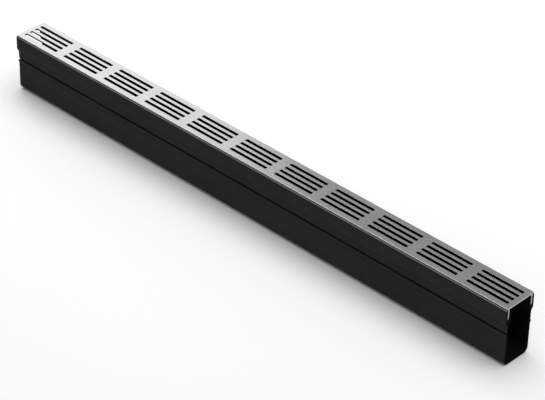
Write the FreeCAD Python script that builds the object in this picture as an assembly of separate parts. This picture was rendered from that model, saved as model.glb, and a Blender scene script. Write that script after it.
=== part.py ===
import FreeCAD, Part
import math
import os

# Line drain, one straight length: an extruded plastic channel and the slotted metal grate that lies in it.
# Millimetres. X runs along the drain, Y across it and Z up. The origin is the middle of the flat base.

# ---- Driving dimensions: the drain as a whole ----
length = 1000.0               # channel, end to end
overall_height = 100.0        # base to the top of the grate

# ---- Driving dimensions: grate ----
grate_end_gap = 0.5           # the grate stops this far short of each end of the channel
grate_width = 57.0            # over the two side flanges
plate_thickness = 2.6         # slotted plate between the legs
flange_thickness = 1.6        # thinner edge of the plate, outside the legs
leg_length = 19.4             # top of the grate to the foot of a leg
leg_thickness = 2.6
plate_edge_radius = 1.0       # rounded long edges of the walking surface
leg_root_radius = 1.2         # where a leg meets the underside of the plate
deburr_radius = 0.4           # small edges that are only broken

# ---- Driving dimensions: slots ----
slot_length = 73.0
slot_width = 5.0
slot_corner_radius = 0.8
bar_width = 5.8               # metal between two slots of one panel
bridge_length = 18.0          # metal between two panels
least_end_margin = 4.0        # shortest plain stretch at an end of the grate
least_side_margin = 2.0       # narrowest plain strip between a leg and the slots

# ---- Driving dimensions: channel ----
rim_width = 58.0              # over the two rims
rim_wall = 2.8
rim_radius = 2.0              # rounded outer edge of the rim
body_width = 51.0             # over the side walls below the shoulders
wall = 3.0                    # side walls and base
base_radius = 9.0             # outside of the bottom corners
shoulder_height = 6.5         # slanted step from the side wall out to the rim
ledge_thickness = 5.1         # pocket floor down to the start of the shoulder
lip_thickness = 3.4           # inner lip that closes the pocket towards the waterway
lip_return = 3.6              # pocket floor down to where the lip turns back to the wall
bend_radius = 1.5             # soft bends of the shoulder

# ---- Driving dimensions: hooked fixing rail on each side wall ----
neck_height = 12.2            # shoulder down to the roof of the groove
groove_opening = 2.0          # groove roof down to the top of the hook
groove_web = 1.4              # wall left behind the groove
rail_projection = 1.3         # hook outside the side wall
hook_thickness = 1.1
hook_height = 2.9             # groove floor up to the top of the hook
rail_foot_height = 2.4        # groove floor down to where the rail dies into the wall

# ---- Fits ----
leg_clearance = 0.4           # each side of a leg, in its pocket
rim_gap = 0.7                 # flange above the rim
lip_gap = 0.6                 # plate above the inner lip

# ---- Heights above the base, from the top down ----
grate_top = overall_height
plate_underside = grate_top - plate_thickness
flange_underside = grate_top - flange_thickness
rim_top = flange_underside - rim_gap
lip_top = plate_underside - lip_gap
pocket_floor = grate_top - leg_length
shoulder_top = pocket_floor - ledge_thickness
shoulder_bottom = shoulder_top - shoulder_height
lip_foot = pocket_floor - lip_return
groove_roof = shoulder_bottom - neck_height
hook_top = groove_roof - groove_opening
groove_floor = hook_top - hook_height
rail_foot = groove_floor - rail_foot_height
rail_face_bottom = groove_floor - rail_foot_height / 4

# ---- Distances from the middle plane, from the outside in ----
rim_outside = rim_width / 2
rim_inside = rim_outside - rim_wall
leg_outside = rim_inside - leg_clearance
leg_inside = leg_outside - leg_thickness
pocket_inside = leg_inside - leg_clearance
lip_inside = pocket_inside - lip_thickness
wall_outside = body_width / 2
wall_inside = wall_outside - wall
hook_outside = wall_outside + rail_projection
hook_inside = hook_outside - hook_thickness
groove_back = wall_inside + groove_web
flange_edge = grate_width / 2

LONGEST_ROUNDING = 0.98       # part of a straight side that the roundings at its two ends may take up
SMALLEST = 1e-6               # a corner turned by less than this stays as it is


def rounded_outline(corners):
    """Closed YZ outline through corners given as (y, z, radius), each rounded with a tangent arc."""
    points = [FreeCAD.Vector(0, y, z) for y, z, radius in corners]
    count = len(points)
    sides = [points[(index + 1) % count] - points[index] for index in range(count)]
    half_angles = [(sides[index - 1] * -1).getAngle(sides[index]) / 2 for index in range(count)]
    wanted = [corners[index][2] / math.tan(half_angles[index]) for index in range(count)]
    share = []
    for index, side in enumerate(sides):
        both_ends = max(wanted[index] + wanted[(index + 1) % count], SMALLEST)
        share.append(min(1.0, LONGEST_ROUNDING * side.Length / both_ends))
    starts = []
    ends = []
    edges = []
    for index, point in enumerate(points):
        back = (sides[index - 1] * -1).normalize()
        ahead = FreeCAD.Vector(sides[index]).normalize()
        reach = wanted[index] * min(share[index - 1], share[index])
        starts.append(point + back * reach)
        ends.append(point + ahead * reach)
        if reach > SMALLEST:
            radius = reach * math.tan(half_angles[index])
            to_crown = radius / math.sin(half_angles[index]) - radius
            crown = point + (back + ahead).normalize() * to_crown
            edges.append(Part.Arc(starts[index], crown, ends[index]).toShape())
    for index in range(count):
        edges.append(Part.LineSegment(ends[index - 1], starts[index]).toShape())
    return Part.Wire(Part.sortEdges(edges)[0])


def mirrored(half_outline):
    """Whole outline from the corners of its +Y half, listed from the bottom up or from the top down."""
    other_half = [(-y, z, radius) for y, z, radius in reversed(half_outline)]
    return half_outline + other_half


def extrusion(corners, run):
    """Solid of a closed YZ outline, run along X and centred on the origin."""
    section = Part.Face(rounded_outline(corners))
    section.translate(FreeCAD.Vector(-run / 2, 0, 0))
    return section.extrude(FreeCAD.Vector(run, 0, 0))


def channel_body():
    """One extruded section, round each side from the base to the rim and back down the inside."""
    outside = [
        (wall_outside, 0, base_radius),
        (wall_outside, rail_foot, bend_radius),
        (hook_outside, rail_face_bottom, bend_radius),
        (hook_outside, hook_top, hook_thickness / 2),
        (hook_inside, hook_top, hook_thickness / 2),
        (hook_inside, groove_floor, deburr_radius),
        (groove_back, groove_floor, deburr_radius),
        (groove_back, groove_roof, deburr_radius),
        (wall_outside, groove_roof, deburr_radius),
        (wall_outside, shoulder_bottom, bend_radius),
        (rim_outside, shoulder_top, bend_radius),
        (rim_outside, rim_top, rim_radius),
    ]
    pocket_and_waterway = [
        (rim_inside, rim_top, deburr_radius),
        (rim_inside, pocket_floor, deburr_radius),
        (pocket_inside, pocket_floor, deburr_radius),
        (pocket_inside, lip_top, deburr_radius),
        (lip_inside, lip_top, deburr_radius),
        (lip_inside, lip_foot, bend_radius),
        (wall_inside, shoulder_bottom, bend_radius),
        (wall_inside, wall, base_radius - wall),
    ]
    return extrusion(mirrored(outside + pocket_and_waterway), length)


def slot_cutter(centre_x, centre_y):
    """Round-cornered prism that punches one slot through the plate."""
    x_reach = slot_length / 2 - slot_corner_radius
    y_reach = slot_width / 2 - slot_corner_radius
    bottom = plate_underside - plate_thickness
    height = 3 * plate_thickness
    long_way = Part.makeBox(slot_length, 2 * y_reach, height)
    long_way.translate(FreeCAD.Vector(centre_x - slot_length / 2, centre_y - y_reach, bottom))
    cross_way = Part.makeBox(2 * x_reach, slot_width, height)
    cross_way.translate(FreeCAD.Vector(centre_x - x_reach, centre_y - slot_width / 2, bottom))
    pieces = [cross_way]
    for x_side in (-1, 1):
        for y_side in (-1, 1):
            corner = FreeCAD.Vector(centre_x + x_side * x_reach, centre_y + y_side * y_reach, bottom)
            pieces.append(Part.makeCylinder(slot_corner_radius, height, corner))
    return long_way.fuse(pieces).removeSplitter()


def slotted_grate():
    """Extruded profile with flanges and legs, then as many panels of slots as its length and width take."""
    profile = [
        (leg_inside, plate_underside, leg_root_radius),
        (leg_inside, pocket_floor, deburr_radius),
        (leg_outside, pocket_floor, deburr_radius),
        (leg_outside, flange_underside, deburr_radius),
        (flange_edge, flange_underside, deburr_radius),
        (flange_edge, grate_top, plate_edge_radius),
    ]
    grate_length = length - 2 * grate_end_gap
    blank = extrusion(mirrored(profile), grate_length)
    panel_pitch = slot_length + bridge_length
    row_pitch = slot_width + bar_width
    panels = int((grate_length - 2 * least_end_margin + bridge_length) / panel_pitch)
    rows = int((2 * leg_inside - 2 * least_side_margin + bar_width) / row_pitch)
    cutters = []
    for panel in range(panels):
        centre_x = (panel - (panels - 1) / 2) * panel_pitch
        for row in range(rows):
            centre_y = (row - (rows - 1) / 2) * row_pitch
            cutters.append(slot_cutter(centre_x, centre_y))
    return blank.cut(Part.makeCompound(cutters))


os.makedirs("parts", exist_ok=True)
channel_body().exportStep("parts/channel_body.step")
slotted_grate().exportStep("parts/slotted_grate.step")
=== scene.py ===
import math

import bmesh
import bpy
from bpy.props import FloatProperty, FloatVectorProperty, IntProperty, PointerProperty
from mathutils import Matrix, Vector


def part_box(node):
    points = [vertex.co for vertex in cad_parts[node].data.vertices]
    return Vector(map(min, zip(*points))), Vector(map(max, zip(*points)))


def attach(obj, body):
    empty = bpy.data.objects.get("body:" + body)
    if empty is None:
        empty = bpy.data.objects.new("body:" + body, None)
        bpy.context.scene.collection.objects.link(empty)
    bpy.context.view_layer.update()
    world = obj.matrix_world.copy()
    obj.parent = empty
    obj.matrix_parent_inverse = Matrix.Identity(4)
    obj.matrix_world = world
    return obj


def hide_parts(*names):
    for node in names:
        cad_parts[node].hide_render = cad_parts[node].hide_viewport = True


bl_info = {
    "name": "Line Drain",
    "version": (1, 0, 0),
    "blender": (4, 5, 0),
    "location": "3D View > Sidebar > Line Drain",
    "description": "One length of line drain: an extruded channel and its pierced metal grate",
    "category": "Object",
}

# X runs along the drain, Y across it and Z up, in metres. Sections are drawn in millimetres.
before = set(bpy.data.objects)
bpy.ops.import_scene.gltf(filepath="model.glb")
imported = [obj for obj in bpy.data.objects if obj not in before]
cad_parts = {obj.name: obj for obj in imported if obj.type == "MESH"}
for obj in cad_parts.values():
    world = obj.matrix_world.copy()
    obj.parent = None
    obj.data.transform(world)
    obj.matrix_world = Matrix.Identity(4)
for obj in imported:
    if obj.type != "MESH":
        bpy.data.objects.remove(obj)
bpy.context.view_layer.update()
CHANNEL_LOW, CHANNEL_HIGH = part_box("channel_body")
GRATE_LOW, GRATE_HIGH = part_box("slotted_grate")

MM = 0.001

# How the shapes are made
SMALLEST = 1e-6                   # a length or a step in height under this counts as none
LONGEST_ROUNDING = 0.98           # part of a straight side that the roundings at its two ends may take up
CLOSEST_POINTS = 0.04             # least distance in millimetres between two points of a section
FACET_TURN = math.radians(15)     # an arc turns by no more than this from one facet to the next
SLOT_CORNER_STEPS = 4             # facets round a slot's corner
SLOT_EDGE_STEPS = 4               # facets over a slot's rolled upper edge, and half as many under the plate
MERGE_REACH = 2e-6                # points closer than this are welded
SAWN_EDGE_ANGLE = math.radians(60)  # edges that bend more than this are the saw's, and are softened
SAWN_EDGE_STEPS = 2               # facets over a softened sawn edge
SHARP_ANGLE = math.radians(38)    # edges that bend more than this stay sharp
FLAT_FACE_WEIGHT = 100            # large flat faces rule the normals at their corners

# Which faces take which finish; the waterway, the grooves and the grate's cut walls take painted shade
END_SHARE = 0.499                 # faces farther out than this share of the length are sawn ends
INSIDE_SHARE = 0.9                # faces deeper in the side wall than this share of it are the waterway's, which takes painted shade
GROOVE_DEPTH = 0.1 * MM           # faces deeper behind the side wall's outside than this are the grooves', which take painted shade
CUT_LEAN = 0.9                    # a cut wall's normal leans up or down by less than this; cut walls take painted shade
CUT_SHARE = 0.93                  # the flanges' edges take painted shade from this share of their rounding outwards

# Finishes, the painted highlight on the rims among them
BROAD_LINE_SCALE = 0.13           # the broad drawn lines against the fine ones
FINE_GRAIN_SCALE = 3.0            # the grain against the coarser speckle
SCRATCH_SCALE = (40.0, 900.0, 300.0)  # scratches per metre along X, Y and Z, so that they run along X
SCUFFED_PATCH_SCALE = 17.0        # rubbed patches per metre
RUBBED_BAND = (0.75, 0.32)        # foot and head of the painted highlight band, in rim radii under the rim top
RUB_FADE = 0.07                   # how softly the painted highlight band ends, in rim radii
RIM_RUB = 7.0                     # painted highlight: lighter by this much in the band, against the plain plastic
MATT_GLOSS = 0.01                 # specular level of the channel's outside and sawn ends
INSIDE_GLOSS = 0.05               # specular level of the channel's inside

# The floor shows paler to the camera than it lights the object, and more so far out, where the lamps fade.
FLOOR_SHOWN_GAIN = 5.55
FLOOR_FAR_GAIN = 27.0
FLOOR_NEAR = 0.6                  # metres from the middle
FLOOR_FAR = 6.0
FLOOR_CLOUD_SCALE = 1.5           # slow clouds per metre
FLOOR_UNEVENNESS = 0.005          # how much lighter or darker the clouds are
BACKDROP_TOP = 0.12               # sine of the backdrop's height above the horizon
SENSOR_WIDTH = 36.0               # millimetres, in the camera
CAMERA_REACH = 100.0              # the camera sees this many metres far


# ---------------- sizes and colours

def length_property(name, description, default_mm):
    """A length that the panel shows in the scene's unit, given here in millimetres."""
    return FloatProperty(
        name=name, description=description, default=default_mm * MM, min=0, unit="LENGTH", precision=4
    )


def colour_property(name, description, default):
    return FloatVectorProperty(
        name=name, description=description, default=default, size=3, min=0, max=1, subtype="COLOR"
    )


def factor_property(name, description, default):
    return FloatProperty(name=name, description=description, default=default, min=0, max=1, subtype="FACTOR")


class ChannelSizes(bpy.types.PropertyGroup):
    length: length_property("Length", "End to end of the channel", (CHANNEL_HIGH.x - CHANNEL_LOW.x) / MM)
    rim_width: length_property("Rim width", "Over the two rims", (CHANNEL_HIGH.y - CHANNEL_LOW.y) / MM)
    rim_top: length_property("Rim top", "Base up to the rims", CHANNEL_HIGH.z / MM)
    rim_wall: length_property("Rim wall", "Thickness of the rims", 2.8)
    rim_radius: length_property("Rim radius", "Rounding of the rims' outer edges", 2.0)
    body_width: length_property("Body width", "Over the side walls below the shoulders", 51.0)
    wall: length_property("Wall", "Thickness of the side walls and of the base", 3.0)
    base_radius: length_property("Base radius", "Outside rounding of the bottom corners", 9.0)
    shoulder_height: length_property("Shoulder height", "Slanted step out to the rim", 6.5)
    ledge_thickness: length_property("Ledge thickness", "Pocket floor down to the shoulder", 5.1)
    lip_thickness: length_property("Lip thickness", "Inner lip beside the pocket", 3.4)
    lip_return: length_property("Lip return", "Pocket floor down to the foot of the lip", 3.6)
    lip_drop: length_property("Lip drop", "Rim top down to the top of the lip", 0.9)
    bend_radius: length_property("Bend radius", "Soft bends of the shoulder", 1.5)
    neck_height: length_property("Neck height", "Shoulder down to the roof of the groove", 12.2)
    groove_opening: length_property("Groove opening", "Groove roof down to the hook", 2.0)
    groove_web: length_property("Groove web", "Wall left behind the groove", 1.4)
    rail_projection: length_property("Rail projection", "Hook outside the side wall", 1.3)
    hook_thickness: length_property("Hook thickness", "Thickness of the hook", 1.1)
    hook_height: length_property("Hook height", "Groove floor up to the top of the hook", 2.9)
    rail_foot_height: length_property("Rail foot", "Groove floor down to where the rail ends", 2.4)
    sawn_edge: length_property("Sawn edge", "Softened edges of the sawn ends", 0.15)


class GrateSizes(bpy.types.PropertyGroup):
    length: length_property("Length", "End to end of the grate", (GRATE_HIGH.x - GRATE_LOW.x) / MM)
    width: length_property("Width", "Over the two side flanges", (GRATE_HIGH.y - GRATE_LOW.y) / MM)
    top: length_property("Top", "Base of the drain up to the walking surface", GRATE_HIGH.z / MM)
    foot: length_property("Foot", "Base of the drain up to the feet of the legs", GRATE_LOW.z / MM)
    plate_thickness: length_property("Plate thickness", "Pierced plate between the legs", 2.6)
    flange_thickness: length_property("Flange thickness", "Thinner edge outside the legs", 1.6)
    leg_outside: length_property("Leg place", "Middle plane to the outside of a leg", 25.8)
    leg_thickness: length_property("Leg thickness", "Thickness of the legs", 2.6)
    plate_edge_radius: length_property("Edge radius", "Rounded long edges of the walking surface", 1.0)
    leg_root_radius: length_property("Leg root radius", "Where a leg meets the plate", 1.2)
    deburr_radius: length_property("Deburr radius", "Small edges that are only broken", 0.4)
    panels: IntProperty(name="Panels", description="Groups of slots along the grate", default=11, min=1)
    rows: IntProperty(name="Rows", description="Slots side by side in one panel", default=4, min=1)
    slot_length: length_property("Slot length", "End to end of a slot", 73.0)
    slot_width: length_property("Slot width", "Across a slot", 5.0)
    slot_corner_radius: length_property("Slot corner radius", "Rounding at the slot's corners", 0.8)
    slot_edge_radius: length_property("Slot edge radius", "Rolled-over edge left by the punch", 0.6)
    bar_width: length_property("Bar width", "Metal between two slots", 5.8)
    bridge_length: length_property("Bridge length", "Metal between two panels", 18.0)
    sawn_edge: length_property("Sawn edge", "Softened edges of the sawn ends", 0.15)


class FinishSettings(bpy.types.PropertyGroup):
    plastic: colour_property("Channel plastic", "Colour of the channel", (0.074, 0.074, 0.075))
    plastic_roughness: factor_property("Plastic roughness", "Sheen of the channel", 0.45)
    metal: colour_property("Grate metal", "Colour of the grate", (0.72, 0.72, 0.72))
    metal_roughness: factor_property("Metal roughness", "Sheen of the grate", 0.25)


class StageSettings(bpy.types.PropertyGroup):
    floor: colour_property("Floor", "Colour of the floor", (0.25, 0.25, 0.25))
    floor_size: length_property("Floor size", "Side of the square floor", 80000.0)
    lens: FloatProperty(
        name="Lens", description="Focal length of the camera", default=161.885, min=1, unit="CAMERA"
    )
    room_light: FloatProperty(
        name="Room light", description="Strength of the even light from all sides", default=0.27, min=0
    )
    camera_place: FloatVectorProperty(
        name="Camera place", description="Where the camera stands", default=(2.0717, -2.1533, 2.0871),
        size=3, subtype="TRANSLATION", unit="LENGTH", precision=4
    )
    camera_turn: FloatVectorProperty(
        name="Camera turn", description="Angles of the camera about X, Y and Z",
        default=[math.radians(degrees) for degrees in (55.2966, -1.012, 44.1113)],
        size=3, subtype="EULER", unit="ROTATION"
    )


class DrainSettings(bpy.types.PropertyGroup):
    channel: PointerProperty(type=ChannelSizes)
    grate: PointerProperty(type=GrateSizes)
    finish: PointerProperty(type=FinishSettings)
    stage: PointerProperty(type=StageSettings)


# ---------------- sections

def rounded_outline(corners):
    """Points of the closed outline through corners (y, z, radius), each rounded with a tangent arc."""
    points = [Vector(corner[:2]) for corner in corners]
    count = len(points)
    sides = [points[(i + 1) % count] - points[i] for i in range(count)]
    half_angles = [(-sides[i - 1]).angle(sides[i]) / 2 for i in range(count)]
    wanted = [corners[i][2] / math.tan(half_angles[i]) for i in range(count)]
    shares = []
    for i, side in enumerate(sides):
        both_ends = max(wanted[i] + wanted[(i + 1) % count], SMALLEST)
        shares.append(min(1.0, LONGEST_ROUNDING * side.length / both_ends))
    outline = []
    for i, point in enumerate(points):
        back = -sides[i - 1].normalized()
        ahead = sides[i].normalized()
        reach = wanted[i] * min(shares[i - 1], shares[i])
        if reach < SMALLEST:
            outline.append(point)
            continue
        radius = reach * math.tan(half_angles[i])
        centre = point + (back + ahead).normalized() * (radius / math.sin(half_angles[i]))
        spoke = point + back * reach - centre
        turn = math.pi - 2 * half_angles[i]
        if spoke.cross(point + ahead * reach - centre) < 0:
            turn = -turn
        steps = max(2, math.ceil(abs(turn) / FACET_TURN))
        for step in range(steps + 1):
            arm = Matrix.Rotation(turn * step / steps, 2) @ spoke
            outline.append(centre + arm)
    return [point for i, point in enumerate(outline) if (point - outline[i - 1]).length > CLOSEST_POINTS]


def mirrored(half_outline):
    """The whole outline from the corners of its +Y half."""
    return half_outline + [(-y, z, radius) for y, z, radius in reversed(half_outline)]


def in_millimetres(sizes):
    """The lengths of a piece by their names, leaving out its counts."""
    values = {name: getattr(sizes, name) for name in sizes.__annotations__}
    return {name: value / MM for name, value in values.items() if isinstance(value, float)}


def channel_outline(sizes):
    """Section of the channel in millimetres, up each side and back down the inside."""
    mm = in_millimetres(sizes)
    grate = bpy.context.scene.line_drain.grate
    pocket_floor = grate.foot / MM
    leg_outside = grate.leg_outside / MM
    leg_inside = leg_outside - grate.leg_thickness / MM
    deburr = grate.deburr_radius / MM
    rim_outside = mm["rim_width"] / 2
    rim_inside = rim_outside - mm["rim_wall"]
    pocket_inside = leg_inside - (rim_inside - leg_outside)
    lip_inside = pocket_inside - mm["lip_thickness"]
    lip_top = mm["rim_top"] - mm["lip_drop"]
    wall_outside = mm["body_width"] / 2
    wall_inside = wall_outside - mm["wall"]
    shoulder_top = pocket_floor - mm["ledge_thickness"]
    shoulder_bottom = shoulder_top - mm["shoulder_height"]
    groove_roof = shoulder_bottom - mm["neck_height"]
    hook_top = groove_roof - mm["groove_opening"]
    groove_floor = hook_top - mm["hook_height"]
    hook_outside = wall_outside + mm["rail_projection"]
    hook_inside = hook_outside - mm["hook_thickness"]
    groove_back = wall_inside + mm["groove_web"]
    bend = mm["bend_radius"]
    return rounded_outline(mirrored([
        (wall_outside, 0, mm["base_radius"]),
        (wall_outside, groove_floor - mm["rail_foot_height"], bend),
        (hook_outside, groove_floor - mm["rail_foot_height"] / 4, bend),
        (hook_outside, hook_top, mm["hook_thickness"] / 2),
        (hook_inside, hook_top, mm["hook_thickness"] / 2),
        (hook_inside, groove_floor, deburr),
        (groove_back, groove_floor, deburr),
        (groove_back, groove_roof, deburr),
        (wall_outside, groove_roof, deburr),
        (wall_outside, shoulder_bottom, bend),
        (rim_outside, shoulder_top, bend),
        (rim_outside, mm["rim_top"], mm["rim_radius"]),
        (rim_inside, mm["rim_top"], deburr),
        (rim_inside, pocket_floor, deburr),
        (pocket_inside, pocket_floor, deburr),
        (pocket_inside, lip_top, deburr),
        (lip_inside, lip_top, deburr),
        (lip_inside, pocket_floor - mm["lip_return"], bend),
        (wall_inside, shoulder_bottom, bend),
        (wall_inside, mm["wall"], mm["base_radius"] - mm["wall"]),
    ]))


def grate_outline(sizes):
    """Section of the grate in millimetres, without its slots."""
    mm = in_millimetres(sizes)
    leg_inside = mm["leg_outside"] - mm["leg_thickness"]
    flange_underside = mm["top"] - mm["flange_thickness"]
    flange_edge = mm["width"] / 2
    deburr = mm["deburr_radius"]
    return rounded_outline(mirrored([
        (leg_inside, mm["top"] - mm["plate_thickness"], mm["leg_root_radius"]),
        (leg_inside, mm["foot"], deburr),
        (mm["leg_outside"], mm["foot"], deburr),
        (mm["leg_outside"], flange_underside, deburr),
        (flange_edge, flange_underside, deburr),
        (flange_edge, mm["top"], mm["plate_edge_radius"]),
    ]))


# ---------------- meshes

def mesh_object(name, mesh):
    obj = bpy.data.objects.new(name, mesh)
    bpy.context.scene.collection.objects.link(obj)
    return obj


def object_from_bmesh(name, shape):
    """A new object that keeps a finished bmesh as its mesh."""
    mesh = bpy.data.meshes.new(name)
    shape.to_mesh(mesh)
    shape.free()
    return mesh_object(name, mesh)


def end_face(name, outline):
    """One flat face in the YZ plane that looks along +X."""
    shape = bmesh.new()
    face = shape.faces.new([shape.verts.new((0, y * MM, z * MM)) for y, z in outline])
    face.normal_update()
    if face.normal.x < 0:
        face.normal_flip()
    return object_from_bmesh(name, shape)


def panel_pitch(sizes):
    return sizes.slot_length + sizes.bridge_length


def panel_run(sizes):
    """Length of profile in one panel, so that the outer panels reach to the grate's ends."""
    return sizes.length - (sizes.panels - 1) * panel_pitch(sizes)


def row_pitch(sizes):
    return sizes.slot_width + sizes.bar_width


def row_centre(sizes, row):
    return (row - (sizes.rows - 1) / 2) * row_pitch(sizes)


def row_lines(sizes):
    """Y of every line that divides the plate lengthwise: beside each slot and through its middle."""
    half_pitch = row_pitch(sizes) / 2
    first = row_centre(sizes, 0) - half_pitch
    return [first + half_pitch * i for i in range(2 * sizes.rows + 1)]


def plate_levels(sizes):
    """Heights of the pierced plate's top and underside."""
    return sizes.top, sizes.top - sizes.plate_thickness


def along_plate(sizes, here, following):
    """Whether a side of the section runs level at the plate's top or underside."""
    steps = [abs(here.y - level) for level in plate_levels(sizes)]
    return abs(here.y - following.y) < SMALLEST and min(steps) < SMALLEST


def divided_outline(sizes, outline):
    """The grate's outline in metres, with points added where the lengthwise lines meet the plate."""
    divided = []
    for i, point in enumerate(outline):
        here = point * MM
        following = outline[(i + 1) % len(outline)] * MM
        divided.append(here)
        if along_plate(sizes, here, following) and abs(here.x - following.x) > sizes.width / 2:
            lines = sorted(row_lines(sizes), reverse=following.x < here.x)
            divided += [Vector((y, here.y)) for y in lines]
    return divided


def swept(shape, outline, half_run, skip):
    """Walls between the outline at -half_run and at +half_run; skip tells which sides stay open."""
    rings = []
    for x in (-half_run, half_run):
        rings.append([shape.verts.new((x, y, z)) for y, z in outline])
    for i in range(len(outline)):
        j = (i + 1) % len(outline)
        if not skip(outline[i], outline[j]):
            shape.faces.new((rings[0][i], rings[0][j], rings[1][j], rings[1][i]))


def slot_levels(sizes):
    """Outset and height of each ring round a slot, over its rolled upper edge and down to its lower one."""
    top, underside = plate_levels(sizes)
    roll = sizes.slot_edge_radius
    levels = []
    for step in range(SLOT_EDGE_STEPS + 1):
        angle = math.pi / 2 * step / SLOT_EDGE_STEPS
        levels.append((roll * (1 - math.sin(angle)), top - roll * (1 - math.cos(angle))))
    burr = roll / 2
    for step in range(SLOT_EDGE_STEPS // 2 + 1):
        angle = math.pi * step / SLOT_EDGE_STEPS
        levels.append((burr * (1 - math.cos(angle)), underside + burr * (1 - math.sin(angle))))
    return levels


def slot_ring(sizes, row, outset, z):
    """Points round one slot of a panel, set out from its wall, from the -X end over the +Y side."""
    x_reach = sizes.slot_length / 2 - sizes.slot_corner_radius
    y_reach = sizes.slot_width / 2 - sizes.slot_corner_radius
    radius = sizes.slot_corner_radius + outset
    centre_y = row_centre(sizes, row)
    ring = []
    for first_angle, x_side, y_side in ((180, -1, 1), (90, 1, 1), (0, 1, -1), (-90, -1, -1)):
        if x_side != y_side:
            ring.append(Vector((x_side * (x_reach + radius), centre_y, z)))
        for step in range(SLOT_CORNER_STEPS + 1):
            angle = math.radians(first_angle - 90 * step / SLOT_CORNER_STEPS)
            ring.append(Vector((
                x_side * x_reach + radius * math.cos(angle),
                centre_y + y_side * y_reach + radius * math.sin(angle),
                z,
            )))
    return ring


def plate_round_slot(shape, sizes, row, ring):
    """Two level faces round a slot, one on each side of its middle line, out to the bars' middles."""
    middle = len(ring) // 2
    centre_y = row_centre(sizes, row)
    for side, half_ring in ((1, ring[: middle + 1]), (-1, ring[middle:] + ring[:1])):
        edge_y = centre_y + side * row_pitch(sizes) / 2
        far_x = side * panel_run(sizes) / 2
        around = ((far_x, centre_y), (far_x, edge_y), (-far_x, edge_y), (-far_x, centre_y))
        shape.faces.new(half_ring + [shape.verts.new((x, y, ring[0].co.z)) for x, y in around])


def grate_panel(sizes, outline):
    """One panel: the profile over a panel's length, with its rows of slots and their rolled-over edges."""
    lines = row_lines(sizes)

    def pierced(here, following):
        across = sorted((here.x, following.x))
        within = across[0] > lines[0] - SMALLEST and across[1] < lines[-1] + SMALLEST
        return within and along_plate(sizes, here, following)

    shape = bmesh.new()
    swept(shape, outline, panel_run(sizes) / 2, pierced)
    for row in range(sizes.rows):
        rings = []
        for outset, z in slot_levels(sizes):
            rings.append([shape.verts.new(point) for point in slot_ring(sizes, row, outset, z)])
        count = len(rings[0])
        for upper, lower in zip(rings, rings[1:]):
            for i in range(count):
                j = (i + 1) % count
                shape.faces.new((upper[i], upper[j], lower[j], lower[i]))
        plate_round_slot(shape, sizes, row, rings[0])
        plate_round_slot(shape, sizes, row, rings[-1])
    bmesh.ops.remove_doubles(shape, verts=shape.verts, dist=MERGE_REACH)
    return object_from_bmesh("grate_panel", shape)


def grate_bridge(sizes, outline):
    """Plain stretch between two panels."""
    shape = bmesh.new()
    swept(shape, outline, (panel_pitch(sizes) - panel_run(sizes)) / 2, lambda here, following: False)
    return object_from_bmesh("grate_bridge", shape)


# ---------------- nodes for geometry and materials

def set_inputs(tree, node, inputs):
    """Links each input that is given a socket, and sets each that is given a plain value."""
    for name, value in inputs.items():
        if isinstance(value, bpy.types.NodeSocket):
            tree.links.new(value, node.inputs[name])
        else:
            node.inputs[name].default_value = value


def new_node(tree, kind, inputs, **settings):
    """A node with its settings and its inputs, each a socket or a plain value."""
    node = tree.nodes.new(kind)
    for name, value in settings.items():
        setattr(node, name, value)
    set_inputs(tree, node, inputs)
    return node


def value_node(tree, operation, first, second=0.0):
    """Math node on sockets or plain numbers."""
    return new_node(tree, "ShaderNodeMath", {0: first, 1: second}, operation=operation).outputs["Value"]


def added(tree, first, second):
    return value_node(tree, "ADD", first, second)


def multiplied(tree, first, second):
    return value_node(tree, "MULTIPLY", first, second)


def map_range(tree, value, low, high, from_low=0.3, from_high=0.7):
    """A value spread over a working range; noise mostly lies between 0.3 and 0.7."""
    inputs = {"Value": value, "From Min": from_low, "From Max": from_high, "To Min": low, "To Max": high}
    return new_node(tree, "ShaderNodeMapRange", inputs).outputs["Result"]


def split(tree, vector):
    """The X, Y and Z of a vector."""
    return new_node(tree, "ShaderNodeSeparateXYZ", {"Vector": vector}).outputs


# ---------------- geometry node trees

def geometry_tree(name, own_inputs):
    """A geometry tree with its own inputs (name, socket type) and those that both pieces have."""
    tree = bpy.data.node_groups.new(name, "GeometryNodeTree")
    for socket_name, socket_type in [
        ("Geometry", "NodeSocketGeometry"),
        ("Length", "NodeSocketFloat"),
        ("Inner half width", "NodeSocketFloat"),
        ("Outer half width", "NodeSocketFloat"),
        *own_inputs,
        ("Inside material", "NodeSocketMaterial"),
        ("Face material", "NodeSocketMaterial"),
        ("End material", "NodeSocketMaterial"),
    ]:
        tree.interface.new_socket(socket_name, in_out="INPUT", socket_type=socket_type)
    tree.interface.new_socket("Geometry", in_out="OUTPUT", socket_type="NodeSocketGeometry")
    return tree, tree.nodes.new("NodeGroupInput").outputs


def join_nodes(tree, sources):
    join = tree.nodes.new("GeometryNodeJoinGeometry")
    for source in sources:
        tree.links.new(source, join.inputs["Geometry"])
    return join.outputs["Geometry"]


def face_field(tree, name):
    """The X, Y and Z of each face's Position or Normal."""
    return split(tree, tree.nodes.new("GeometryNodeInput" + name).outputs[name])


def compared(tree, operation, value, limit):
    """True where a value is LESS_THAN or GREATER_THAN a limit."""
    inputs = {"A": value, "B": limit}
    node = new_node(tree, "FunctionNodeCompare", inputs, data_type="FLOAT", operation=operation)
    return node.outputs["Result"]


def combined(tree, operation, first, second):
    """AND or OR of two selections."""
    node = new_node(tree, "FunctionNodeBooleanMath", {0: first, 1: second}, operation=operation)
    return node.outputs["Boolean"]


def painted(tree, geometry, material, selection=True):
    inputs = {"Geometry": geometry, "Material": material, "Selection": selection}
    return new_node(tree, "GeometryNodeSetMaterial", inputs).outputs["Geometry"]


def along_x(tree, distance):
    """A vector along X."""
    return new_node(tree, "ShaderNodeCombineXYZ", {"X": distance}).outputs["Vector"]


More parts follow.
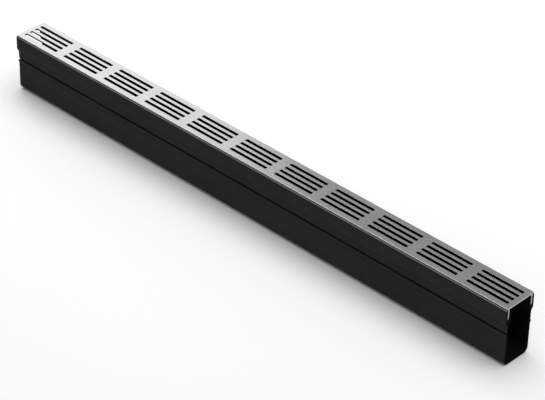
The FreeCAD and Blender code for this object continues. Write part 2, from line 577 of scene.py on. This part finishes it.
def moved_along_x(tree, geometry, distance):
    inputs = {"Geometry": geometry, "Translation": along_x(tree, distance)}
    return new_node(tree, "GeometryNodeTransform", inputs).outputs["Geometry"]


def flipped(tree, geometry):
    return new_node(tree, "GeometryNodeFlipFaces", {"Mesh": geometry}).outputs["Mesh"]


def finish_tree(tree, geometry, given, inner):
    """Realise and weld, then set materials: the long faces, the faces that take painted shade and the sawn
    ends.
    """
    realized = new_node(tree, "GeometryNodeRealizeInstances", {"Geometry": geometry}).outputs["Geometry"]
    weld = new_node(tree, "GeometryNodeMergeByDistance", {"Geometry": realized, "Distance": MERGE_REACH})
    facing = value_node(tree, "ABSOLUTE", face_field(tree, "Normal")["X"])
    distance = value_node(tree, "ABSOLUTE", face_field(tree, "Position")["X"])
    at_end = combined(
        tree, "AND",
        compared(tree, "GREATER_THAN", facing, math.cos(SAWN_EDGE_ANGLE / 2)),
        compared(tree, "GREATER_THAN", distance, multiplied(tree, given["Length"], END_SHARE)),
    )
    dressed = painted(tree, weld.outputs["Geometry"], given["Face material"])
    dressed = painted(tree, dressed, given["Inside material"], inner)
    dressed = painted(tree, dressed, given["End material"], at_end)
    new_node(tree, "NodeGroupOutput", {"Geometry": dressed})


def extruded_length_tree():
    """The piece's own end face, pushed along X to its length and closed at both ends."""
    tree, given = geometry_tree("Extruded length", [("Wall foot", "NodeSocketFloat")])
    start = moved_along_x(tree, given["Geometry"], multiplied(tree, given["Length"], -0.5))
    inputs = {"Mesh": start, "Offset": along_x(tree, given["Length"]), "Individual": False}
    push = new_node(tree, "GeometryNodeExtrudeMesh", inputs, mode="FACES")
    closed = join_nodes(tree, [push.outputs["Mesh"], flipped(tree, start)])
    side = value_node(tree, "ABSOLUTE", face_field(tree, "Position")["Y"])
    height = face_field(tree, "Position")["Z"]
    waterway = combined(
        tree, "AND",
        compared(tree, "LESS_THAN", side, given["Inner half width"]),
        compared(tree, "GREATER_THAN", height, MM),
    )
    grooves = combined(
        tree, "AND",
        compared(tree, "LESS_THAN", side, given["Outer half width"]),
        compared(tree, "GREATER_THAN", height, given["Wall foot"]),
    )
    # the waterway and the grooves take the painted shade material
    finish_tree(tree, closed, given, combined(tree, "OR", waterway, grooves))
    return tree


def row_of_instances(tree, source, count, pitch):
    """An object's mesh repeated along X at an even pitch, centred on the origin."""
    run = multiplied(tree, value_node(tree, "SUBTRACT", count, 1.0), pitch)
    line = new_node(tree, "GeometryNodeMeshLine", {
        "Count": count,
        "Start Location": along_x(tree, multiplied(tree, run, -0.5)),
        "Offset": along_x(tree, pitch),
    }, mode="OFFSET")
    mesh = new_node(tree, "GeometryNodeObjectInfo", {"Object": source}).outputs["Geometry"]
    inputs = {"Points": line.outputs["Mesh"], "Instance": mesh}
    return new_node(tree, "GeometryNodeInstanceOnPoints", inputs).outputs["Instances"]


def pierced_grate_tree():
    """Panels of slots and the plain bridges between them, closed with the two sawn end faces."""
    tree, given = geometry_tree("Pierced grate", [
        ("Panels", "NodeSocketInt"),
        ("Panel pitch", "NodeSocketFloat"),
        ("Panel", "NodeSocketObject"),
        ("Bridge", "NodeSocketObject"),
    ])
    bridges = value_node(tree, "SUBTRACT", given["Panels"], 1.0)
    half = multiplied(tree, given["Length"], 0.5)
    joined = join_nodes(tree, [
        row_of_instances(tree, given["Panel"], given["Panels"], given["Panel pitch"]),
        row_of_instances(tree, given["Bridge"], bridges, given["Panel pitch"]),
        moved_along_x(tree, given["Geometry"], half),
        moved_along_x(tree, flipped(tree, given["Geometry"]), multiplied(tree, half, -1.0)),
    ])
    side = value_node(tree, "ABSOLUTE", face_field(tree, "Position")["Y"])
    slope = value_node(tree, "ABSOLUTE", face_field(tree, "Normal")["Z"])
    # slot walls and the flanges' outer edges take the painted shade material
    cut_walls = combined(
        tree, "AND",
        compared(tree, "LESS_THAN", slope, CUT_LEAN),
        combined(
            tree, "OR",
            compared(tree, "LESS_THAN", side, given["Inner half width"]),
            compared(tree, "GREATER_THAN", side, given["Outer half width"]),
        ),
    )
    finish_tree(tree, joined, given, cut_walls)
    return tree


def modified_mesh(obj):
    """The mesh that an object's modifiers make."""
    evaluated = obj.evaluated_get(bpy.context.evaluated_depsgraph_get())
    return bpy.data.meshes.new_from_object(evaluated)


def keep_modified(piece):
    """Gives a piece what its modifiers make as its own plain mesh."""
    unmodified = piece.data
    piece.data = modified_mesh(piece)
    piece.modifiers.clear()
    bpy.data.meshes.remove(unmodified)


def turn_faces_out(mesh):
    shape = bmesh.new()
    shape.from_mesh(mesh)
    bmesh.ops.recalc_face_normals(shape, faces=shape.faces)
    shape.to_mesh(mesh)
    shape.free()


def plain_mesh_from(obj, tree, values, name, edge_softness):
    """Runs the tree on the object, softens the sawn edges, and keeps the result as a plain mesh."""
    obj.data.materials.append(values["Face material"])
    modifier = obj.modifiers.new(tree.name, "NODES")
    modifier.node_group = tree
    for item in tree.interface.items_tree:
        if item.in_out == "INPUT" and item.name in values:
            modifier[item.identifier] = values[item.name]
    piece = mesh_object(name, modified_mesh(obj))
    bpy.data.objects.remove(obj)
    turn_faces_out(piece.data)
    bevel = piece.modifiers.new("Sawn edges", "BEVEL")
    bevel.width = edge_softness
    bevel.segments = SAWN_EDGE_STEPS
    bevel.limit_method = "ANGLE"
    bevel.angle_limit = SAWN_EDGE_ANGLE
    bevel.miter_outer = "MITER_SHARP"
    bevel.use_clamp_overlap = False
    keep_modified(piece)
    piece.data.shade_smooth()
    piece.data.set_sharp_from_angle(angle=SHARP_ANGLE)
    weighted = piece.modifiers.new("Flat faces stay flat", "WEIGHTED_NORMAL")
    weighted.mode = "FACE_AREA"
    weighted.weight = FLAT_FACE_WEIGHT
    weighted.keep_sharp = True
    keep_modified(piece)
    piece.data.name = name
    return piece


# ---------------- shader node groups

def shader_group(name, inputs, outputs):
    """A shader node group with (name, socket type, default) inputs and float outputs."""
    group = bpy.data.node_groups.new(name, "ShaderNodeTree")
    group.interface.new_socket("Vector", in_out="INPUT", socket_type="NodeSocketVector")
    for socket_name, socket_type, default in inputs:
        socket = group.interface.new_socket(socket_name, in_out="INPUT", socket_type=socket_type)
        socket.default_value = default
    for socket_name in outputs:
        group.interface.new_socket(socket_name, in_out="OUTPUT", socket_type="NodeSocketFloat")
    return group, group.nodes.new("NodeGroupInput").outputs


def noise_node(tree, vector, scale, detail=2.0, roughness=0.5):
    inputs = {"Vector": vector, "Scale": scale, "Detail": detail, "Roughness": roughness}
    return new_node(tree, "ShaderNodeTexNoise", inputs).outputs["Fac"]


def scaled_vector(tree, vector, factors):
    """Coordinates scaled by a fixed vector or by a vector socket."""
    node = new_node(tree, "ShaderNodeVectorMath", {0: vector, 1: factors}, operation="MULTIPLY")
    return node.outputs["Vector"]


def drawn_lines_group():
    """Fine lines that a die or a saw leaves: noise stretched along one direction."""
    group, given = shader_group(
        "Drawn lines",
        [("Stretch", "NodeSocketVector", (1, 1, 1)), ("Scale", "NodeSocketFloat", 1000.0)],
        ["Lines", "Broad"],
    )
    stretched = scaled_vector(group, given["Vector"], given["Stretch"])
    new_node(group, "NodeGroupOutput", {
        "Lines": noise_node(group, stretched, given["Scale"], 3.0, 0.6),
        "Broad": noise_node(group, stretched, multiplied(group, given["Scale"], BROAD_LINE_SCALE)),
    })
    return group


def grain_group():
    """Even fine grain of a pickled or moulded surface, with slow cloudy changes."""
    group, given = shader_group(
        "Surface grain",
        [("Grain size", "NodeSocketFloat", MM), ("Cloud size", "NodeSocketFloat", 50 * MM)],
        ["Grain", "Speckle", "Cloud"],
    )
    vector = given["Vector"]
    grain_scale = value_node(group, "DIVIDE", 1.0, given["Grain size"])
    cloud_scale = value_node(group, "DIVIDE", 1.0, given["Cloud size"])
    new_node(group, "NodeGroupOutput", {
        "Grain": noise_node(group, vector, multiplied(group, grain_scale, FINE_GRAIN_SCALE)),
        "Speckle": noise_node(group, vector, grain_scale, roughness=0.65),
        "Cloud": noise_node(group, vector, cloud_scale),
    })
    return group


def scuff_group():
    """Sparse thin scratches and rubbed spots from handling, as a mask."""
    group, given = shader_group("Handling scuffs", [("Amount", "NodeSocketFloat", 0.5)], ["Mask"])
    across = noise_node(group, scaled_vector(group, given["Vector"], SCRATCH_SCALE), 1.0)
    patch = noise_node(group, given["Vector"], SCUFFED_PATCH_SCALE)
    mask = multiplied(
        group,
        map_range(group, across, 0.0, 1.0, from_low=0.66, from_high=0.74),
        map_range(group, patch, 0.0, 1.0, from_low=0.5, from_high=0.72),
    )
    new_node(group, "NodeGroupOutput", {"Mask": multiplied(group, mask, given["Amount"])})
    return group


EFFECTS = {
    "Drawn lines": drawn_lines_group,
    "Surface grain": grain_group,
    "Handling scuffs": scuff_group,
}


def place_effect(tree, effect, vector, values):
    """Puts a shared shader group in a material; the group is built when it is first asked for."""
    group = bpy.data.node_groups.get(effect) or EFFECTS[effect]()
    return new_node(tree, "ShaderNodeGroup", {"Vector": vector, **values}, node_tree=group).outputs


# ---------------- materials

def shaded(tree, colour, factor):
    """A fixed colour made darker or lighter by a factor socket."""
    inputs = {0: tuple(colour), "Scale": factor}
    return new_node(tree, "ShaderNodeVectorMath", inputs, operation="SCALE").outputs["Vector"]


def bump(tree, height, distance, under=None):
    """Relief from a height socket, laid over another relief where there is one under it."""
    inputs = {"Height": height, "Distance": distance}
    if under is not None:
        inputs["Normal"] = under
    return new_node(tree, "ShaderNodeBump", inputs).outputs["Normal"]


def new_material(name):
    """A material with its Principled shader and Object coordinates."""
    material = bpy.data.materials.new(name)
    material.use_nodes = True
    tree = material.node_tree
    place = tree.nodes.new("ShaderNodeTexCoord").outputs["Object"]
    return material, tree, tree.nodes["Principled BSDF"], place


def rubbed_rims(tree, place, breakup):
    """How much lighter the rims' outer edges are painted: a painted highlight on their rounded edges beside
    the grate, broken up a little.
    """
    height = split(tree, place)["Z"]
    sizes = bpy.context.scene.line_drain.channel
    low, high = (sizes.rim_top - share * sizes.rim_radius for share in RUBBED_BAND)
    soft = RUB_FADE * sizes.rim_radius
    above = map_range(tree, height, 0.0, 1.0, low - soft, low + soft)
    below = map_range(tree, height, 1.0, 0.0, high - soft, high + soft)
    # the painted highlight band, broken up a little by the speckle
    rubbed = multiplied(tree, multiplied(tree, above, below), map_range(tree, breakup, 0.75, 1.25))
    return multiplied(tree, rubbed, RIM_RUB)


def extruded_plastic(finish):
    """Black plastic as it leaves the die: faint lines along X, a soft grain, a few rubbed scratches and a
    painted highlight along the rims.
    """
    material, tree, shader, place = new_material("channel_plastic_extruded")
    lines = place_effect(tree, "Drawn lines", place, {"Stretch": (0.004, 1.0, 1.0), "Scale": 900.0})
    grain = place_effect(tree, "Surface grain", place, {"Grain size": 0.9 * MM, "Cloud size": 60 * MM})
    scuffs = place_effect(tree, "Handling scuffs", place, {"Amount": 0.5})["Mask"]
    cloud = map_range(tree, grain["Cloud"], 0.93, 1.07)
    tone = multiplied(tree, map_range(tree, lines["Broad"], 0.9, 1.1), cloud)
    # the scuffs and the painted highlight on the rims lighten the colour
    tone = added(tree, added(tree, tone, scuffs), rubbed_rims(tree, place, grain["Speckle"]))
    sheen = finish.plastic_roughness
    rough = map_range(tree, grain["Cloud"], sheen - 0.03, sheen + 0.03)
    rough = added(tree, map_range(tree, lines["Broad"], -0.04, 0.04), rough)
    set_inputs(tree, shader, {
        "Base Color": shaded(tree, finish.plastic, tone),
        "Roughness": added(tree, rough, multiplied(tree, scuffs, 0.15)),
        "Specular IOR Level": MATT_GLOSS,
        "Normal": bump(tree, grain["Grain"], 0.01 * MM, bump(tree, lines["Lines"], 0.03 * MM)),
    })
    return material


def inner_plastic(finish):
    """The waterway, the pocket floors and the grooves: painted shade, the plastic's colour darkened to about
    a tenth, with a dull skin.
    """
    material, tree, shader, place = new_material("channel_plastic_inside")
    lines = place_effect(tree, "Drawn lines", place, {"Stretch": (0.004, 1.0, 1.0), "Scale": 500.0})
    grain = place_effect(tree, "Surface grain", place, {"Grain size": 1.2 * MM, "Cloud size": 40 * MM})
    cloud = map_range(tree, grain["Cloud"], 0.85, 1.15)
    # painted shade: the plastic's colour at about a tenth
    tone = multiplied(tree, map_range(tree, lines["Broad"], 0.1, 0.135), cloud)
    set_inputs(tree, shader, {
        "Base Color": shaded(tree, finish.plastic, tone),
        "Roughness": map_range(tree, grain["Speckle"], 0.75, 0.9),
        "Specular IOR Level": INSIDE_GLOSS,
        "Normal": bump(tree, lines["Lines"], 0.03 * MM),
    })
    return material


def sawn_plastic(finish):
    """The channel's sawn ends: matt, with painted shade that darkens them far below the plastic's skin, and
    the saw's strokes across the cut.
    """
    material, tree, shader, place = new_material("channel_plastic_sawn")
    strokes = place_effect(tree, "Drawn lines", place, {"Stretch": (1.0, 0.02, 1.0), "Scale": 1400.0})
    grain = place_effect(tree, "Surface grain", place, {"Grain size": 0.6 * MM, "Cloud size": 20 * MM})
    cloud = map_range(tree, grain["Cloud"], 0.85, 1.15)
    # painted shade: the plastic's colour at a fifth or less
    tone = multiplied(tree, map_range(tree, strokes["Broad"], 0.12, 0.22), cloud)
    set_inputs(tree, shader, {
        "Base Color": shaded(tree, finish.plastic, tone),
        "Roughness": map_range(tree, strokes["Broad"], 0.6, 0.75),
        "Specular IOR Level": MATT_GLOSS,
        "Normal": bump(tree, grain["Grain"], 0.02 * MM, bump(tree, strokes["Lines"], 0.06 * MM)),
    })
    return material


def grate_metal(finish):
    """Satin aluminium: an even fine speckle over faint lines from the press, with light scratches."""
    material, tree, shader, place = new_material("grate_metal_satin")
    lines = place_effect(tree, "Drawn lines", place, {"Stretch": (0.01, 1.0, 1.0), "Scale": 1200.0})
    grain = place_effect(tree, "Surface grain", place, {"Grain size": 1.6 * MM, "Cloud size": 45 * MM})
    scuffs = place_effect(tree, "Handling scuffs", place, {"Amount": 0.35})["Mask"]
    drawn = map_range(tree, lines["Lines"], 0.985, 1.015)
    tone = multiplied(tree, map_range(tree, grain["Speckle"], 0.965, 1.035), drawn)
    sheen = finish.metal_roughness
    rough = map_range(tree, grain["Cloud"], sheen - 0.02, sheen + 0.02)
    rough = added(tree, map_range(tree, grain["Speckle"], -0.03, 0.03), rough)
    set_inputs(tree, shader, {
        "Base Color": shaded(tree, finish.metal, added(tree, tone, multiplied(tree, scuffs, 0.12))),
        "Metallic": 1.0,
        "Roughness": value_node(tree, "SUBTRACT", rough, multiplied(tree, scuffs, 0.08)),
        "Normal": bump(tree, grain["Grain"], 0.018 * MM, bump(tree, lines["Lines"], 0.01 * MM)),
    })
    return material


def punched_metal(finish):
    """Punched and sheared walls and the flanges' outer edges: painted shade, the metal's colour darkened to
    a few hundredths, dull, with the tool's upright drag marks.
    """
    material, tree, shader, place = new_material("grate_metal_punched")
    drag = place_effect(tree, "Drawn lines", place, {"Stretch": (1.0, 1.0, 0.05), "Scale": 1800.0})
    set_inputs(tree, shader, {
        # painted shade: the metal's colour at a few hundredths
        "Base Color": shaded(tree, finish.metal, map_range(tree, drag["Broad"], 0.015, 0.03)),
        "Metallic": 1.0,
        "Roughness": map_range(tree, drag["Lines"], 0.45, 0.6),
        "Normal": bump(tree, drag["Lines"], 0.03 * MM),
    })
    return material


def sawn_metal(finish):
    """The grate's sawn ends: bright metal with the saw's strokes across."""
    material, tree, shader, place = new_material("grate_metal_sawn")
    strokes = place_effect(tree, "Drawn lines", place, {"Stretch": (1.0, 0.02, 1.0), "Scale": 2200.0})
    grain = place_effect(tree, "Surface grain", place, {"Grain size": 0.8 * MM, "Cloud size": 20 * MM})
    speckle = map_range(tree, grain["Speckle"], 0.95, 1.05)
    tone = multiplied(tree, map_range(tree, strokes["Broad"], 0.48, 0.6), speckle)
    set_inputs(tree, shader, {
        "Base Color": shaded(tree, finish.metal, tone),
        "Metallic": 1.0,
        "Roughness": map_range(tree, strokes["Lines"], 0.3, 0.5),
        "Normal": bump(tree, strokes["Lines"], 0.04 * MM),
    })
    return material


def seen_directly(tree):
    """1 for the camera and for what metal mirrors or glass lets through, and 0 for plain light."""
    seen = tree.nodes.new("ShaderNodeLightPath").outputs
    mirrored_or_through = value_node(tree, "MAXIMUM", seen["Is Glossy Ray"], seen["Is Transmission Ray"])
    return value_node(tree, "MAXIMUM", seen["Is Camera Ray"], mirrored_or_through)


def floor_material(colour):
    """Plain pale floor that shows white where nothing shades it, and keeps the object's shadow."""
    material, tree, shader, place = new_material("floor_pale")
    tree.nodes.remove(shader)
    reach = new_node(tree, "ShaderNodeVectorMath", {0: place}, operation="LENGTH").outputs["Value"]
    gain = map_range(tree, reach, FLOOR_SHOWN_GAIN, FLOOR_FAR_GAIN, FLOOR_NEAR, FLOOR_FAR)
    cloud = noise_node(tree, place, FLOOR_CLOUD_SCALE)
    tone = multiplied(tree, gain, map_range(tree, cloud, 1 - FLOOR_UNEVENNESS, 1 + FLOOR_UNEVENNESS))
    extra = multiplied(tree, seen_directly(tree), value_node(tree, "SUBTRACT", tone, 1.0))
    matt = new_node(tree, "ShaderNodeBsdfDiffuse", {"Color": shaded(tree, colour, added(tree, extra, 1.0))})
    set_inputs(tree, tree.nodes["Material Output"], {"Surface": matt.outputs["BSDF"]})
    return material


def studio_world(room_light):
    """Even light from all sides, with a low white backdrop all round that lights nothing."""
    world = bpy.data.worlds.new("studio")
    world.use_nodes = True
    tree = world.node_tree
    height = split(tree, tree.nodes.new("ShaderNodeTexCoord").outputs["Generated"])["Z"]
    low = value_node(tree, "LESS_THAN", height, BACKDROP_TOP)
    backdrop = multiplied(tree, low, seen_directly(tree))
    set_inputs(tree, tree.nodes["Background"], {
        "Color": (1, 1, 1, 1),
        "Strength": map_range(tree, backdrop, room_light, 1.0, 0.0, 1.0),
    })
    return world


# ---------------- operators

class LINE_DRAIN_OT_channel(bpy.types.Operator):
    """Make the extruded channel with its pockets, shoulders and hooked rails"""

    bl_idname = "line_drain.channel"
    bl_label = "Channel"

    def execute(self, context):
        settings = context.scene.line_drain
        sizes = settings.channel
        section = end_face("channel_section", channel_outline(sizes))
        channel = plain_mesh_from(section, extruded_length_tree(), {
            "Length": sizes.length,
            "Inner half width": sizes.body_width / 2 - sizes.wall * INSIDE_SHARE,
            "Outer half width": sizes.body_width / 2 - GROOVE_DEPTH,
            "Wall foot": sizes.base_radius,
            "Inside material": inner_plastic(settings.finish),
            "Face material": extruded_plastic(settings.finish),
            "End material": sawn_plastic(settings.finish),
        }, "channel_extrusion", sizes.sawn_edge)
        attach(channel, "root")
        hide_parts("channel_body")
        return {"FINISHED"}


class LINE_DRAIN_OT_grate(bpy.types.Operator):
    """Make the metal grate with its panels of slots, flanges and legs"""

    bl_idname = "line_drain.grate"
    bl_label = "Grate"

    def execute(self, context):
        settings = context.scene.line_drain
        sizes = settings.grate
        outline = divided_outline(sizes, grate_outline(sizes))
        metal = grate_metal(settings.finish)
        panel = grate_panel(sizes, outline)
        bridge = grate_bridge(sizes, outline)
        for part in (panel, bridge):
            part.data.materials.append(metal)
        section = end_face("grate_section", [point / MM for point in outline])
        grate = plain_mesh_from(section, pierced_grate_tree(), {
            "Length": sizes.length,
            "Panels": sizes.panels,
            "Panel pitch": panel_pitch(sizes),
            "Panel": panel,
            "Bridge": bridge,
            "Inner half width": -row_lines(sizes)[0],
            "Outer half width": sizes.width / 2 - (1 - CUT_SHARE) * sizes.plate_edge_radius,
            "Inside material": punched_metal(settings.finish),
            "Face material": metal,
            "End material": sawn_metal(settings.finish),
        }, "pierced_grate", sizes.sawn_edge)
        bpy.data.objects.remove(panel)
        bpy.data.objects.remove(bridge)
        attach(grate, "root")
        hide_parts("slotted_grate")
        return {"FINISHED"}


def soft_lamp(name, place, aim, size, brightness):
    """A large rectangular lamp that looks at a point; a brightness of 1 is a white card in plain light."""
    lamp = bpy.data.lights.new(name, "AREA")
    lamp.shape = "RECTANGLE"
    lamp.size, lamp.size_y = size
    lamp.energy = brightness * math.pi * size[0] * size[1]
    obj = bpy.data.objects.new(name, lamp)
    obj.location = place
    obj.rotation_euler = (Vector(aim) - Vector(place)).to_track_quat("-Z", "Y").to_euler()
    bpy.context.scene.collection.objects.link(obj)
    return obj


class LINE_DRAIN_OT_stage(bpy.types.Operator):
    """Make the pale floor, the soft light and the camera"""

    bl_idname = "line_drain.stage"
    bl_label = "Stage"

    def execute(self, context):
        scene = context.scene
        settings = scene.line_drain.stage
        shape = bmesh.new()
        bmesh.ops.create_grid(shape, x_segments=1, y_segments=1, size=settings.floor_size / 2)
        floor = object_from_bmesh("floor", shape)
        floor.data.materials.append(floor_material(settings.floor))

        scene.world = studio_world(settings.room_light)
        soft_lamp("softbox_behind", (-1.85, 1.02, 0.95), (-0.8, 0.1, 0.1), size=(1.3, 1.1), brightness=0.86)
        soft_lamp("softbox_above", (0.1, 0.6, 3.4), (0, 0, 0), size=(4.4, 2.6), brightness=0.85)
        soft_lamp("softbox_left", (-3.3, 0.6, 3.4), (-3.3, 0.6, 0), size=(2.4, 2.6), brightness=1.4)
        fill = soft_lamp("fill_above", (0.4, 0.6, 3.4), (0, 0, 0), size=(4.4, 2.4), brightness=0.9)
        fill.visible_glossy = False

        data = bpy.data.cameras.new("camera")
        data.lens = settings.lens
        data.sensor_width = SENSOR_WIDTH
        data.clip_end = CAMERA_REACH
        camera = bpy.data.objects.new("camera", data)
        scene.collection.objects.link(camera)
        camera.matrix_world = Matrix.LocRotScale(settings.camera_place, settings.camera_turn, None)
        scene.camera = camera
        scene.view_settings.view_transform = "Standard"
        return {"FINISHED"}


class LINE_DRAIN_PT_panel(bpy.types.Panel):
    """Sizes and finishes of the line drain"""

    bl_idname = "LINE_DRAIN_PT_panel"
    bl_label = "Line Drain"
    bl_space_type = "VIEW_3D"
    bl_region_type = "UI"
    bl_category = "Line Drain"

    def draw(self, context):
        settings = context.scene.line_drain
        for label, group, operator in (
            ("Channel", settings.channel, "line_drain.channel"),
            ("Grate", settings.grate, "line_drain.grate"),
            ("Finish", settings.finish, None),
            ("Stage", settings.stage, "line_drain.stage"),
        ):
            box = self.layout.box()
            box.label(text=label)
            for name in group.__annotations__:
                box.prop(group, name)
            if operator:
                box.operator(operator)


CLASSES = (
    ChannelSizes, GrateSizes, FinishSettings, StageSettings, DrainSettings,
    LINE_DRAIN_OT_channel, LINE_DRAIN_OT_grate, LINE_DRAIN_OT_stage, LINE_DRAIN_PT_panel,
)


def register():
    for cls in CLASSES:
        bpy.utils.register_class(cls)
    bpy.types.Scene.line_drain = PointerProperty(type=DrainSettings)


def unregister():
    del bpy.types.Scene.line_drain
    for cls in reversed(CLASSES):
        bpy.utils.unregister_class(cls)


def main():
    register()
    bpy.ops.line_drain.channel()
    bpy.ops.line_drain.grate()
    bpy.ops.line_drain.stage()


if __name__ == "__main__":
    main()
